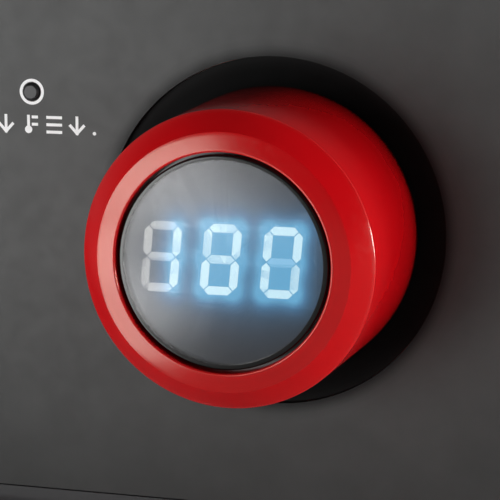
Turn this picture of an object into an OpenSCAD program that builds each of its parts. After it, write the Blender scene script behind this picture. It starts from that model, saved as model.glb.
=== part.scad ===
// Heated dryer box for one spool of printer filament.
// Origin: centre of the footprint, on the table. +Z up, the control panel faces -Y.

/* [Cabinet] */
// Width of the cabinet
body_w = 250; // [248:1:256]
// Depth of the cabinet, front panel to back wall
body_d = 124; // [124:1:130]
// Height of the split line between base and lid
split_z = 130; // [129:1:132]
// Height of the top of the lid
top_z = 276; // [276:1:282]
// Radius of the upright corners
corner_r = 14; // [12:1:15]
// Wall of the base shell
wall = 3; // [2.8:0.1:3.2]
// Radius of the two big bends of the lid
arch_r = 94; // [90:1:96]

/* [Spool and rollers] */
// Outside diameter of the largest spool
spool_d = 200; // [196:1:200]
// Depth of the drying trough, along the spool's axis
trough_len = 80; // [78:1:80]
// Outside diameter of a roller over its rubber bands
roller_d = 18; // [17:0.5:18]
// Angle from straight down to each roller, seen from the spool's centre
roller_angle = 30; // [29:0.5:31]

/* [Display pod] */
// Diameter of the pod at its front edge
pod_d = 60; // [59:0.5:60]
// Distance that the pod stands out of the panel
pod_h = 38; // [37:0.5:39]
// Diameter of the opening that shows the lens
lens_hole_d = 44; // [43.6:0.2:44.2]
// Distance of the pod's axis to the right of the cabinet's centre
pod_x = 57; // [55:0.5:57]
// Height of the pod's axis
pod_z = 71; // [69:0.5:72]
// Height of a display digit, the common 0.56 inch
digit_h = 14.2; // [13.8:0.1:14.4]

/* [Controls] */
// Diameter of the key caps
key_d = 3.6; // [3.4:0.1:3.8]
// Distance from one key to the next
key_pitch = 40; // [38:0.5:40]
// Travel of a key
key_travel = 0.8; // [0.6:0.1:0.9]
// Full swing of the power rocker
rocker_swing = 18; // [14:1:20]

/* [Outlets] */
// Bore of a filament outlet, which takes a 4 mm guide tube
outlet_bore_d = 4.2; // [4.1:0.05:4.3]
// Height of the filament outlets
outlet_z = 162; // [158:1:166]

/* [Hidden] */
$fn = 96;
eps = 0.01;

// Colours
graphite = [0.27, 0.27, 0.28];
dark_plastic = [0.13, 0.13, 0.14];
pod_red = [0.74, 0.03, 0.04];
rubber_black = [0.06, 0.06, 0.06];
steel = [0.75, 0.76, 0.78];
board_green = [0.05, 0.30, 0.16];
smoke = [0.35, 0.37, 0.40, 0.35];

// Hinge
hinge_r = 5;
hinge_offset = 6;      // axis behind the back wall
hinge_pin_r = 2;
hinge_gap = 0.06;      // running clearance on the pin
hinge_x = 80;
knuckle_len = 14;
knuckle_gap = 0.4;
stop_len = 9;          // the heels behind the axis stop the lid just past 95 degrees

// Depth places: the pod in front and the hinge behind balance about the origin
cy = (pod_h - hinge_offset - stop_len) / 2;
front_y = cy - body_d / 2;
back_y = cy + body_d / 2;
hinge_y = back_y + hinge_offset;

// Base shell
foot_h = 6;
shell_z0 = 5;
shell_edge_r = 2.4;
seat_gap = 0.3;        // gap round covers and inserts
deck_z = split_z - 3;  // top of the tub's deck
deck_t = 3;
ledge_w = 3;
boss_r = 4.6;
pilot_r = 1.35;
boss_x = body_w / 2 - wall - 6;
boss_y = body_d / 2 - wall - 7;
tub_boss_x = body_w / 2 - 13.5;
tub_boss_y = body_d / 2 - 13.5;

// Cover plate
cover_z0 = foot_h;
cover_t = 3;

// Front panel
panel_w = body_w - 2 * corner_r - 2;
panel_z0 = 10;
panel_z1 = deck_z - deck_t - 1;
panel_h = panel_z1 - panel_z0;
panel_mid = (panel_z0 + panel_z1) / 2;
panel_t = 2.5;
panel_r = 8;
panel_lap = 5;
ledge_t = 3;
back_z0 = cover_z0 + cover_t + 0.2;   // the frame behind the panel ends between cover and deck
back_z1 = deck_z - deck_t;

// Trough, with its arc round the spool
tub_wall = 2.5;
spool_z = deck_z + 39;
trough_r = spool_d / 2 + 10;
trough_y1 = back_y - wall - 6;
trough_y0 = trough_y1 - trough_len;
trough_cy = (trough_y0 + trough_y1) / 2;

// Rollers
roller_gap = (spool_d + roller_d) / 2;
roller_x = roller_gap * sin(roller_angle);
roller_z = spool_z - roller_gap * cos(roller_angle);
axle_r = 2.5;
axle_gap = 0.05;
bearing_r = 8;
bearing_t = 5;
bracket_t = 6;
bracket_w = 22;
pocket_w = 28;
pocket_z0 = roller_z - 13;
drum_r = roller_d / 2 - 1;
drum_len = trough_len - 2 * bracket_t - 3;

// Air path
fan_w = 60;
fan_t = 15;
fan_z0 = cover_z0 + cover_t;
fan_bore_r = 28.2;
rotor_r = 27;
hub_r = 12;
blade_count = 7;
duct_t = 2;
core_z0 = fan_z0 + fan_t + 6;
core_t = 12;
duct_lap = 4;
grille_w = 65;
grille_t = 2.5;
grille_z1 = spool_z - trough_r + 6;
collar_t = 2.5;
collar_z0 = grille_z1 - 12;
sensor_x = -62;
sensor_z = 106;

// Keys
key_x = pod_x - 54.5;
key_z = pod_z + 28.4;
key_hole_r = key_d / 2 + 0.2;
board_y = front_y + 11;
board_t = 1.6;
switch_t = 3.4;
nose_in = 0.6;         // how far a key's nose sits in its switch
post_h = 6;
power_z = cover_z0 + cover_t + post_h;

// Power rocker
rocker_x = key_x - 2 * key_pitch;
rocker_z = 46;
rocker_w = 9.6;
rocker_l = 15.6;
rocker_hole = [12.9, 19.2];
rocker_bezel = [15, 21];
rocker_slot = [10.3, 17.6];
rocker_axis_depth = 3.2;
trunnion_r = 1.2;

// Pod, along its own axis: 0 is the panel's face and + is towards the user
pod_r = pod_d / 2;
pod_base_r = pod_r + 1;
pod_edge = pod_h - 4;      // where the straight wall ends
bevel_r = pod_r - 4.1;     // where the bevel ends and the ring begins
bevel_z = pod_h - 0.7;
ring_r = lens_hole_d / 2;
pod_wall = 2.6;
pod_recess_r = pod_base_r + 6.5;   // the panel's opening, a dark ring round the pod
flange_r = pod_recess_r + 8;
flange_t = 3;
gasket_t = 0.8;
lens_z = pod_h - 0.8;      // front of the lens
lens_t = 1.2;
lens_r = ring_r - 0.5;
cup_t = 0.8;
brim_z = pod_h - 3.4;      // front of the lens's brim
brim_t = 1.1;
mask_t = 2.5;
mask_z = lens_z - lens_t;  // front of the mask, behind the lens
board_post_z = mask_z - mask_t - 8;

// Digits
stroke = 1.7;
digit_slant = 0.092;
digit_pitch = 12.3;
digit_w = 7.7;
segment_gap = 0.28;
digits_at = [-0.6, 0.55];

// Power entry
inlet_x = -74;
inlet_z = 38;
inlet_socket = [24.6, 16.4];
inlet_flange = [50, 23];
inlet_depth = 17;

// Lid
lid_gap = 0.6;
frame_h = 13;
window_inset = 1.5;
window_t = 2.5;
frame_lip = 1.5;
frame_t = window_inset + window_t + frame_lip;
window_z0 = split_z + lid_gap + 1.6;
bend_z = top_z - arch_r;
window_seam = 9.5;     // from the cabinet's faces to the seams of the end panes
side_top = bend_z - 3; // seam between each flat side and the bent cover above it
seam_gap = 0.1;
magnet_r = 3;
magnet_t = 2;
magnet_x = 40;

// Filament outlets
outlet_face = body_w / 2 - window_inset;
outlet_r = 6;

// ---------- shared shapes ----------

// Outline with true round corners
module rounded_rect(w, d, r) {
  square([w - 2 * r, d], center = true);
  square([w, d - 2 * r], center = true);
  for (sx = [-1, 1], sy = [-1, 1]) translate([sx * (w / 2 - r), sy * (d / 2 - r)]) circle(r);
}

// Upright prism on the cabinet's centre line, from height z0 to z1
module upright(w, d, r, z0, z1) {
  translate([0, cy, z0]) linear_extrude(z1 - z0) rounded_rect(w, d, r);
}

// The same prism as the cabinet's outline, set in all round
module inset_prism(inset, z0, z1) {
  upright(body_w - 2 * inset, body_d - 2 * inset, corner_r - inset, z0, z1);
}

// Rectangle with its two lower corners rounded
module bowl_profile(w, h, e) {
  translate([-w / 2, e]) square([w, h - e]);
  translate([-w / 2 + e, 0]) square([w - 2 * e, h]);
  for (s = [-1, 1]) translate([s * (w / 2 - e), e]) circle(e);
}

// Upright block with round corners and a round lower edge
module soft_block(w, d, h, r, e) {
  for (sx = [-1, 1], sy = [-1, 1])
    translate([sx * (w / 2 - r), sy * (d / 2 - r), 0])
      rotate([0, 0, sx > 0 ? (sy > 0 ? 0 : -90) : (sy > 0 ? 90 : 180)])
        rotate_extrude(angle = 90) {
          translate([0, e]) square([r, h - e]);
          square([r - e, h]);
          translate([r - e, e]) circle(e);
        }
  rotate([90, 0, 0]) linear_extrude(d - 2 * r, center = true) bowl_profile(w, h, e);
  rotate([90, 0, 90]) linear_extrude(w - 2 * r, center = true) bowl_profile(d, h, e);
}

// Plate or opening on a wall that faces -Y, from y0 to y1, centred at x, z
module on_front(x, z, y0, y1) {
  translate([x, y1, z]) rotate([90, 0, 0]) linear_extrude(y1 - y0) children();
}

// Moves a shape made along +Z onto the pod's axis, which points out of the panel
module on_pod() {
  translate([pod_x, front_y, pod_z]) rotate([90, 0, 0]) children();
}

// Cylinder along Y
module rod_y(x, z, y0, y1, r) {
  translate([x, y0, z]) rotate([-90, 0, 0]) cylinder(r = r, h = y1 - y0);
}

// Cylinder along X
module rod_x(y, z, x0, x1, r) {
  translate([x0, y, z]) rotate([0, 90, 0]) cylinder(r = r, h = x1 - x0);
}

// Pan-head screw along +Z with its head below 0
module screw(shank_r, length, head_r, head_h) {
  cylinder(r = shank_r, h = length);
  difference() {
    translate([0, 0, -head_h]) cylinder(r = head_r, h = head_h);
    for (a = [0, 90]) rotate([0, 0, a])
      translate([-head_r * 0.6, -0.4, -head_h - eps]) cube([head_r * 1.2, 0.8, head_h * 0.55]);
  }
}

// ---------- base ----------

module hinge_knuckle(x0, x1, bore_r, arm_z0, arm_z1) {
  difference() {
    union() {
      rod_x(hinge_y, split_z, x0, x1, hinge_r);
      translate([x0, back_y - 1, arm_z0]) cube([x1 - x0, hinge_offset + 1, arm_z1 - arm_z0]);
    }
    rod_x(hinge_y, split_z, x0 - 1, x1 + 1, bore_r);
  }
}

// Two outer knuckles of each hinge, on the base, with the heels that stop the lid
module base_knuckles() {
  for (sx = [-1, 1], side = [-1, 1]) {
    middle = sx * hinge_x + side * knuckle_len;
    x0 = middle - knuckle_len / 2 + knuckle_gap;
    x1 = middle + knuckle_len / 2 - knuckle_gap;
    difference() {
      union() {
        hinge_knuckle(x0, x1, hinge_pin_r, split_z - 12, split_z - 1);
        difference() {
          translate([x0, hinge_y, split_z - hinge_r]) cube([x1 - x0, stop_len, 2 * hinge_r]);
          rod_x(hinge_y, split_z, x0 - 1, x1 + 1, hinge_pin_r);
        }
      }
      translate([middle - knuckle_len, back_y - 2, split_z - 13]) rotate([30, 0, 0])
        translate([0, 0, -20]) cube([2 * knuckle_len, 30, 20]);
    }
  }
}

module vent_slots(x, z, count, pitch, w, h) {
  for (i = [0 : count - 1]) translate([x + (i - (count - 1) / 2) * pitch, 0]) {
    translate([0, z]) square([w, h - w], center = true);
    for (s = [-1, 1]) translate([0, z + s * (h - w) / 2]) circle(w / 2);
  }
}

module base_shell() color(graphite) difference() {
  union() {
    difference() {
      translate([0, cy, shell_z0])
        soft_block(body_w, body_d, split_z - shell_z0, corner_r, shell_edge_r);
      inset_prism(wall, shell_z0 - 1, split_z + 1);
    }
    // ledge that carries the tub
    difference() {
      inset_prism(wall - 0.5, deck_z - deck_t - 4, deck_z - deck_t);
      inset_prism(wall + ledge_w, deck_z - 20, deck_z);
    }
    // frame behind the panel
    on_front(0, (back_z0 + back_z1) / 2, front_y + panel_t, front_y + panel_t + ledge_t)
      square([panel_w + 6, back_z1 - back_z0], center = true);
    // bosses for the cover's screws
    for (sx = [-1, 0, 1], sy = [-1, 1])
      translate([sx * boss_x, cy + sy * boss_y, cover_z0 + cover_t]) {
        cylinder(r = boss_r, h = 18);
        translate([-boss_r / 2, sy > 0 ? 0 : -8, 0]) cube([boss_r, 8, 18]);
      }
    // bosses for the tub's screws
    for (sx = [-1, 1], sy = [-1, 1])
      translate([sx * tub_boss_x, cy + sy * tub_boss_y, deck_z - deck_t - 20]) cylinder(r = 4.2, h = 20);
    base_knuckles();
  }
  // seat and opening of the front panel
  on_front(0, panel_mid, front_y - 1, front_y + panel_t)
    rounded_rect(panel_w + 2 * seat_gap, panel_h + 2 * seat_gap, panel_r + seat_gap);
  on_front(0, panel_mid, front_y - 1, front_y + panel_t + ledge_t + 0.5)
    rounded_rect(panel_w - 2 * panel_lap, panel_h - 2 * panel_lap, panel_r - panel_lap);
  panel_screw_places() rod_y($screw_x, $screw_z, front_y, front_y + 10, 1.3);
  // pilot holes of the cover's and the tub's screws
  for (sx = [-1, 0, 1], sy = [-1, 1])
    translate([sx * boss_x, cy + sy * boss_y, cover_z0]) cylinder(r = pilot_r, h = 16);
  for (sx = [-1, 1], sy = [-1, 1])
    translate([sx * tub_boss_x, cy + sy * tub_boss_y, deck_z - deck_t - 12]) cylinder(r = pilot_r, h = 20);
  // power inlet and air intake in the back wall
  on_front(inlet_x, inlet_z, back_y - wall - 2, back_y + 2)
    square([inlet_socket[0] + 3.4, inlet_socket[1] + 3.4], center = true);
  for (s = [-1, 1]) rod_y(inlet_x + s * 20, inlet_z, back_y - wall - 2, back_y + 2, 1.6);
  on_front(0, 0, back_y - wall - 2, back_y + 2) vent_slots(56, 40, 14, 6, 2.6, 34);
}

module base_cover() color(dark_plastic) difference() {
  union() {
    inset_prism(wall + seat_gap, cover_z0, cover_z0 + cover_t);
    // stiffening ribs beside the fan
    for (sx = [-1, 1], i = [0 : 2])
      translate([sx * (46 + 16 * i) - 1, cy - 34, cover_z0 + cover_t - eps]) cube([2, 68, 4]);
    // posts of the power board
    power_screw_places() translate([0, 0, -post_h]) cylinder(r = 2.8, h = post_h);
  }
  power_screw_places() translate([0, 0, -5.5]) cylinder(r = 1.2, h = 8);
  for (sx = [-1, 1], sy = [-1, 1])
    translate([sx * 25, trough_cy + sy * 25, cover_z0 + 0.8]) cylinder(r = 1.5, h = cover_t);
  for (sx = [-1, 0, 1], sy = [-1, 1])
    translate([sx * boss_x, cy + sy * boss_y, cover_z0 - 1]) {
      cylinder(r = 1.8, h = cover_t + 2);
      cylinder(r = 3.4, h = 1 + 1.6);
    }
  // ring-shaped inlet louvres under the fan
  for (ring = [0 : 3]) let (r0 = 8 + 5 * ring)
    translate([0, trough_cy, cover_z0 - 1]) difference() {
      cylinder(r = r0 + 3, h = cover_t + 2);
      translate([0, 0, -1]) cylinder(r = r0, h = cover_t + 4);
      for (a = [45, 135]) rotate([0, 0, a]) translate([-30, -1.5, -1]) cube([60, 3, cover_t + 4]);
    }
}

module cover_screws() color(steel)
  for (sx = [-1, 0, 1], sy = [-1, 1])
    translate([sx * boss_x, cy + sy * boss_y, cover_z0 + 1.6]) screw(pilot_r, 12, 3, 1.5);

module feet() color(rubber_black)
  for (sx = [-1, 1], sy = [-1, 1]) translate([sx * 100, cy + sy * 38, 0]) {
    translate([0, 0, 1]) cylinder(r = 9, h = foot_h - 1);
    cylinder(r1 = 8, r2 = 9, h = 1);
  }

// ---------- drying trough ----------

// Round-bottomed outline of the trough, in the plane across the spool
module trough_outline(r, top) {
  intersection() {
    translate([0, spool_z]) circle(r);
    translate([-body_w, 0]) square([2 * body_w, top]);
  }
}

module trough_solid(r, y0, y1, top) {
  translate([0, y1, 0]) rotate([90, 0, 0]) linear_extrude(y1 - y0) trough_outline(r, top);
}

module tub_screws() color(steel)
  for (sx = [-1, 1], sy = [-1, 1])
    translate([sx * tub_boss_x, cy + sy * tub_boss_y, deck_z]) rotate([180, 0, 0])
      screw(pilot_r, 13, 2.8, 1.5);

module roller_pocket(grow, top) {
  for (s = [-1, 1])
    translate([s * roller_x - pocket_w / 2 - grow, trough_y0 - grow, pocket_z0 - grow])
      cube([pocket_w + 2 * grow, trough_len + 2 * grow, top - pocket_z0 + grow]);
}

module air_collar(grow, z0, z1) {
  translate([-grille_w / 2 - grow, trough_cy - grille_w / 2 - grow, z0])
    cube([grille_w + 2 * grow, grille_w + 2 * grow, z1 - z0]);
}

module drying_tub() color(graphite) difference() {
  union() {
    difference() {
      union() {
        trough_solid(trough_r + tub_wall, trough_y0 - tub_wall, trough_y1 + tub_wall, deck_z);
        inset_prism(wall + seat_gap, deck_z - deck_t, deck_z);
        roller_pocket(tub_wall, roller_z + 6);
      }
      trough_solid(trough_r, trough_y0, trough_y1, deck_z + 30);
      roller_pocket(0, roller_z + 20);
    }
    difference() {
      air_collar(collar_t, collar_z0, grille_z1 - grille_t);
      air_collar(-2, collar_z0 - 1, grille_z1 + 1);
    }
    // cups of the closing magnets
    magnet_places() translate([0, 0, deck_z - eps]) cylinder(r = magnet_r + 1.4, h = magnet_t);
  }
  air_collar(seat_gap / 2, grille_z1 - grille_t, grille_z1 + 4);
  air_collar(-2, collar_z0 - 1, grille_z1 + 4);
  rod_y(sensor_x, sensor_z, trough_y0 - tub_wall - 1, trough_y0 + 1, 4.2);
  magnet_places() translate([0, 0, deck_z]) cylinder(r = magnet_r, h = magnet_t + 1);
  bracket_places() bracket_screw_places()
    translate([0, 0, -tub_wall - 1]) cylinder(r = 1.5, h = tub_wall + 2);
  for (sx = [-1, 1], sy = [-1, 1])
    translate([sx * tub_boss_x, cy + sy * tub_boss_y, deck_z - deck_t - 1])
      cylinder(r = 1.7, h = deck_t + 2);
}

// Probe set flush in the trough's front wall, with its flange on the outside
module humidity_sensor() color(dark_plastic) difference() {
  y = trough_y0 - tub_wall;
  union() {
    rod_y(sensor_x, sensor_z, y - 2, trough_y0 - 0.2, 4);
    rod_y(sensor_x, sensor_z, y - 2, y, 7);
    translate([sensor_x - 5, y - 6, sensor_z - 7]) cube([10, 4, 14]);
  }
  for (i = [-1 : 1]) translate([sensor_x + i * 2 - 0.5, y + 1, sensor_z - 2.4]) cube([1, 4, 4.8]);
  translate([sensor_x - 3.5, y - 7, sensor_z - 4]) cube([7, 4, 8]);
}

module air_grille() color(dark_plastic) difference() {
  air_collar(0, grille_z1 - grille_t, grille_z1);
  for (i = [-5 : 5], s = [-1, 1])
    translate([i * 5.2 - 1.5, trough_cy + (s > 0 ? 2 : -28), grille_z1 - grille_t - 1])
      cube([3, 26, grille_t + 2]);
}

// Four upright plates that hold the bearings at the ends of the pockets
module bracket_at(x, y0) {
  difference() {
    union() {
      rod_y(x, roller_z, y0, y0 + bracket_t, bearing_r + 2.4);
      translate([x - bracket_w / 2, y0, pocket_z0]) cube([bracket_w, bracket_t, roller_z - pocket_z0 - 2]);
    }
    rod_y(x, roller_z, y0 - 1, y0 + bracket_t + 1, bearing_r);
    bracket_screw_places() translate([0, 0, -1]) cylinder(r = 1.2, h = 6.5);
  }
}

module bracket_screw_places() {
  for (s = [-1, 1]) translate([$bracket_x + s * 8.6, $bracket_y + bracket_t / 2, pocket_z0]) children();
}

module bracket_places() {
  for (s = [-1, 1], y0 = [trough_y0, trough_y1 - bracket_t]) {
    $bracket_x = s * roller_x;
    $bracket_y = y0;
    children();
  }
}

module roller_brackets() color(dark_plastic) bracket_places() bracket_at($bracket_x, $bracket_y);

module roller_bearings() color(steel) bracket_places()
  translate([$bracket_x, $bracket_y + (bracket_t - bearing_t) / 2, roller_z]) rotate([-90, 0, 0])
    difference() {
      cylinder(r = bearing_r, h = bearing_t);
      translate([0, 0, -1]) cylinder(r = axle_r + axle_gap, h = bearing_t + 2);
      // shields set back between the races
      for (z = [-eps, bearing_t - 0.5 + eps]) translate([0, 0, z]) difference() {
        cylinder(r = 6.6, h = 0.5);
        translate([0, 0, -1]) cylinder(r = 4, h = 3);
      }
    }

module bracket_screws() color(steel) bracket_places() bracket_screw_places()
  translate([0, 0, -tub_wall]) {
    cylinder(r = 1.2, h = tub_wall + 5);
    translate([0, 0, -1.5]) cylinder(r = 2.2, h = 1.5);
  }

module roller_axle(s) color(steel) rod_y(s * roller_x, roller_z, trough_y0 + 0.3, trough_y1 - 0.3, axle_r);

module roller_drum(s) color(graphite) {
  y0 = trough_cy - drum_len / 2;
  translate([s * roller_x, y0, roller_z]) rotate([-90, 0, 0]) difference() {
    rotate_extrude() {
      translate([axle_r, 0]) square([drum_r - axle_r, drum_len]);
      // end flanges that keep the bands on
      translate([axle_r, 0]) square([roller_d / 2 - 0.3 - axle_r, 1.6]);
      translate([axle_r, drum_len - 1.6]) square([roller_d / 2 - 0.3 - axle_r, 1.6]);
    }
    for (z = [-eps, drum_len - 5 + eps], a = [0 : 60 : 300])
      rotate([0, 0, a]) translate([5.2, 0, z]) cylinder(r = 1.3, h = 5);
  }
}

module roller_bands(s) color(rubber_black)
  for (side = [-1, 1])
    translate([s * roller_x, trough_cy + side * (drum_len / 2 - 8) - 5.5, roller_z]) rotate([-90, 0, 0])
      rotate_extrude() difference() {
        translate([drum_r, 0]) square([roller_d / 2 - drum_r, 11]);
        for (z = [2.75, 5.5, 8.25]) translate([roller_d / 2 + 0.2, z]) circle(0.6, $fn = 24);
      }

// ---------- heater and fan ----------

module fan_frame() color(dark_plastic) translate([0, trough_cy, fan_z0]) difference() {
  union() {
    difference() {
      linear_extrude(fan_t) rounded_rect(fan_w, fan_w, 4);
      translate([0, 0, -1]) cylinder(r = fan_bore_r, h = fan_t + 2);
    }
    // motor plate on four struts
    cylinder(r = hub_r, h = 2);
    for (a = [20 : 90 : 290]) rotate([0, 0, a]) translate([0, -1.5, 0]) cube([fan_bore_r + 1, 3, 2]);
    cylinder(r = 3, h = 5);
  }
  for (sx = [-1, 1], sy = [-1, 1])
    translate([sx * 25, sy * 25, -1]) cylinder(r = 2.15, h = fan_t + 2);
  // open waist between the two flanges
  for (a = [0, 90, 180, 270]) rotate([0, 0, a]) translate([-18, fan_w / 2 - 1, 4]) cube([36, 4, fan_t - 8]);
}

module fan_screws() color(steel)
  for (sx = [-1, 1], sy = [-1, 1])
    translate([sx * 25, trough_cy + sy * 25, fan_z0 + fan_t]) rotate([180, 0, 0]) {
      cylinder(r = 1.5, h = fan_t + 2);
      translate([0, 0, -1.8]) cylinder(r = 2.7, h = 1.8);
    }

module fan_rotor() color(rubber_black) translate([0, trough_cy, fan_z0 + 2.6]) {
  difference() {
    cylinder(r = hub_r, h = fan_t - 4);
    translate([0, 0, -1]) cylinder(r = 3.06, h = 4);
    translate([0, 0, -1]) difference() {
      cylinder(r = hub_r - 1.4, h = fan_t - 5);
      translate([0, 0, -1]) cylinder(r = 5, h = fan_t);
    }
  }
  intersection() {
    cylinder(r = rotor_r, h = fan_t - 4);
    for (a = [0 : 360 / blade_count : 359]) rotate([0, 0, a]) translate([hub_r - 1, 0, (fan_t - 4) / 2])
      rotate([38, 0, 0]) translate([0, -8, -0.6]) cube([rotor_r, 16, 1.2]);
  }
}

// Square duct from the fan up into the tub's collar
module heater_duct() color(steel) translate([0, trough_cy, fan_z0 + fan_t]) difference() {
  duct_h = collar_z0 + duct_lap - fan_z0 - fan_t;
  translate([-fan_w / 2, -fan_w / 2, 0]) cube([fan_w, fan_w, duct_h]);
  translate([-fan_w / 2 + duct_t, -fan_w / 2 + duct_t, -1])
    cube([fan_w - 2 * duct_t, fan_w - 2 * duct_t, duct_h + 2]);
  // opening for the heater's leads
  translate([fan_w / 2 - 4, -20, core_z0 - fan_z0 - fan_t + 3]) cube([6, 8, 6]);
}

// Ceramic heating bars between stacks of thin fins
module heater_core() color([0.8, 0.8, 0.78]) translate([0, trough_cy, core_z0]) {
  bar = fan_w - 2 * duct_t;
  for (y = [-22, -7.4, 7.4, 22]) translate([-bar / 2, y - 1.8, 0]) cube([bar, 3.6, core_t]);
  for (row = [-14.7, 0, 14.7], i = [0 : 13])
    translate([-bar / 2 + 2 + i * 4, row - 5.5, 0.5]) cube([0.6, 11, core_t - 1]);
}

// ---------- front panel and keys ----------

module panel_screw_places() {
  for (sx = [-1, 1], k = [-1, 0, 1]) {
    $screw_x = sx * (panel_w / 2 - panel_lap / 2);
    $screw_z = panel_mid + k * 42;
    children();
  }
}

// Four corners of the control board, on its back face
module control_screw_places() {
  for (x = [key_x + 8, key_x - 2 * key_pitch - 12], z = [key_z - 10, key_z + 10])
    translate([x, board_y + board_t, z]) rotate([90, 0, 0]) children();
}

// Four corners of the power board, on its under face
module power_screw_places() {
  for (x = [74, 108], y = [-30, 28]) translate([x, trough_cy + y, power_z]) children();
}

module front_panel() color(graphite) difference() {
  union() {
    on_front(0, panel_mid, front_y, front_y + panel_t) rounded_rect(panel_w, panel_h, panel_r);
    control_screw_places() translate([0, 0, board_t]) cylinder(r = 3, h = board_y - front_y - 1);
  }
  control_screw_places() cylinder(r = 1.2, h = 7);
  panel_screw_places() rod_y($screw_x, $screw_z, front_y + 0.7, front_y + 5, 1.1);
  on_pod() translate([0, 0, -panel_t - 1]) cylinder(r = pod_recess_r, h = panel_t + 2);
  on_pod() for (a = [30, 150, 270]) rotate([0, 0, a])
    translate([flange_r - 3.8, 0, -panel_t - eps]) cylinder(r = 1.25, h = 1.9);
  for (i = [0 : 2]) rod_y(key_x - i * key_pitch, key_z, front_y - 1, front_y + panel_t + 1, key_hole_r);
  on_front(rocker_x, rocker_z, front_y - 1, front_y + panel_t + 1) square(rocker_hole, center = true);
}

// Screws driven from inside through the shell's frame
module panel_screws() color(steel) panel_screw_places()
  translate([$screw_x, front_y + panel_t + ledge_t, $screw_z]) rotate([90, 0, 0])
    screw(1.1, ledge_t + 1.6, 2.1, 1.2);

module board_screws() color(steel) {
  control_screw_places() screw(1.2, 6, 2.4, 1.3);
  power_screw_places() translate([0, 0, board_t]) rotate([180, 0, 0]) screw(1.2, 6, 2.4, 1.3);
}

module control_board() color(board_green) difference() {
  translate([key_x - 2 * key_pitch - 16, board_y, key_z - 13])
    cube([2 * key_pitch + 28, board_t, 26]);
  control_screw_places() translate([0, 0, -3]) cylinder(r = 1.2, h = 8);
}

module tact_switches() color([0.2, 0.2, 0.2])
  for (i = [0 : 2]) translate([key_x - i * key_pitch, board_y - switch_t, key_z]) difference() {
    translate([-3, 0, -3]) cube([6, switch_t, 6]);
    rod_y(0, 0, -1, nose_in + key_travel + 1, 1.6);
  }

// Key cap with a collar behind the panel and a nose that enters its switch
module key_cap(i) color(dark_plastic) {
  x = key_x - i * key_pitch;
  dome = 0.4;
  rod_y(x, key_z, front_y - 0.9 + dome, front_y + panel_t + 2.4, key_d / 2);
  rod_y(x, key_z, front_y + panel_t, board_y - switch_t + nose_in, 1.4);
  translate([x, front_y - 0.9 + dome, key_z]) rotate([90, 0, 0])
    cylinder(r1 = key_d / 2, r2 = key_d / 2 - dome, h = dome);
  rod_y(x, key_z, front_y + panel_t + 0.1, front_y + panel_t + 1.3, key_d / 2 + 1.2);
}

module rocker_frame() color(rubber_black) difference() {
  union() {
    on_front(rocker_x, rocker_z, front_y - 1.6, front_y) rounded_rect(rocker_bezel[0], rocker_bezel[1], 1);
    on_front(rocker_x, rocker_z, front_y, front_y + 12)
      square([rocker_hole[0] - 0.1, rocker_hole[1] - 0.1], center = true);
    for (z = [-5, 5])
      translate([rocker_x - 2.4, front_y + 12 - eps, rocker_z + z - 0.4]) cube([4.8, 7, 0.8]);
  }
  on_front(rocker_x, rocker_z, front_y - 3, front_y + 10.4) square(rocker_slot, center = true);
  rod_x(front_y + rocker_axis_depth, rocker_z, rocker_x - 6.2, rocker_x + 6.2, trunnion_r + 0.06);
}

// Two-faced rocker on its trunnions, tipped to its first stop
module rocker() color(pod_red)
  translate([rocker_x, front_y + rocker_axis_depth, rocker_z]) rotate([rocker_swing / 2, 0, 0]) {
    rotate([0, -90, 0]) linear_extrude(rocker_w, center = true) difference() {
      union() {
        translate([-rocker_l / 2, -5.2]) square([rocker_l, 5.2]);
        intersection() {
          circle(rocker_l / 2);
          translate([-rocker_l / 2, -1]) square([rocker_l, 5]);
        }
      }
      // shallow valley between the two faces
      translate([0, -30 - 4.2]) circle(30);
    }
    rod_x(0, 0, -rocker_w / 2 - 1.3, rocker_w / 2 + 1.3, trunnion_r);
  }

// ---------- display pod ----------

// Revolved wall with a bevel and a slightly crowned ring round the lens
module pod_housing() color(pod_red) on_pod() difference() {
  rotate_extrude() polygon([
    [pod_base_r - pod_wall, -panel_t - flange_t],
    [flange_r, -panel_t - flange_t],
    [flange_r, -panel_t],
    [pod_base_r, -panel_t],
    [pod_base_r, 0],
    for (a = [0 : 15 : 45]) [pod_r - 0.6 + 0.6 * cos(a), pod_edge - 0.4 + 0.6 * sin(a)],
    for (a = [45 : 15 : 75]) [bevel_r - 0.1 + 0.5 * cos(a), bevel_z - 0.45 + 0.5 * sin(a)],
    for (a = [75 : 15 : 180]) [ring_r + 0.4 + 0.4 * cos(a), pod_h - 0.4 + 0.4 * sin(a)],
    [ring_r, brim_z],
    [ring_r + 2.7, brim_z],
    [ring_r + 2.7, board_post_z],
    [pod_base_r - pod_wall - 0.9, board_post_z]
  ]);
  display_screw_places() cylinder(r = 0.8, h = 5);
  for (a = [30, 150, 270]) rotate([0, 0, a])
    translate([flange_r - 3.8, 0, -panel_t - flange_t - 1]) cylinder(r = 1.6, h = flange_t + 2);
}

module pod_screws() color(steel) on_pod()
  for (a = [30, 150, 270]) rotate([0, 0, a])
    translate([flange_r - 3.8, 0, -panel_t - flange_t]) screw(1.25, flange_t + 1.8, 2.7, 1.5);

// Black ring that closes the gap between the pod and the panel, sunk below the panel's face
module pod_gasket() color(rubber_black) on_pod() translate([0, 0, -panel_t]) difference() {
  cylinder(r = pod_recess_r - 0.1, h = gasket_t);
  translate([0, 0, -1]) cylinder(r = pod_base_r, h = gasket_t + 2);
}

// Smoked cup with a brim that is held behind the ring
module display_lens() color(smoke) on_pod() rotate_extrude() polygon([
  [0, mask_z],
  [lens_r - cup_t, mask_z],
  [lens_r - cup_t, brim_z - brim_t],
  [ring_r + 2.4, brim_z - brim_t],
  [ring_r + 2.4, brim_z],
  [lens_r, brim_z],
  for (a = [0 : 15 : 90]) [lens_r - 0.7 + 0.7 * cos(a), lens_z - 0.7 + 0.7 * sin(a)],
  [0, lens_z]
]);

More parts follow.
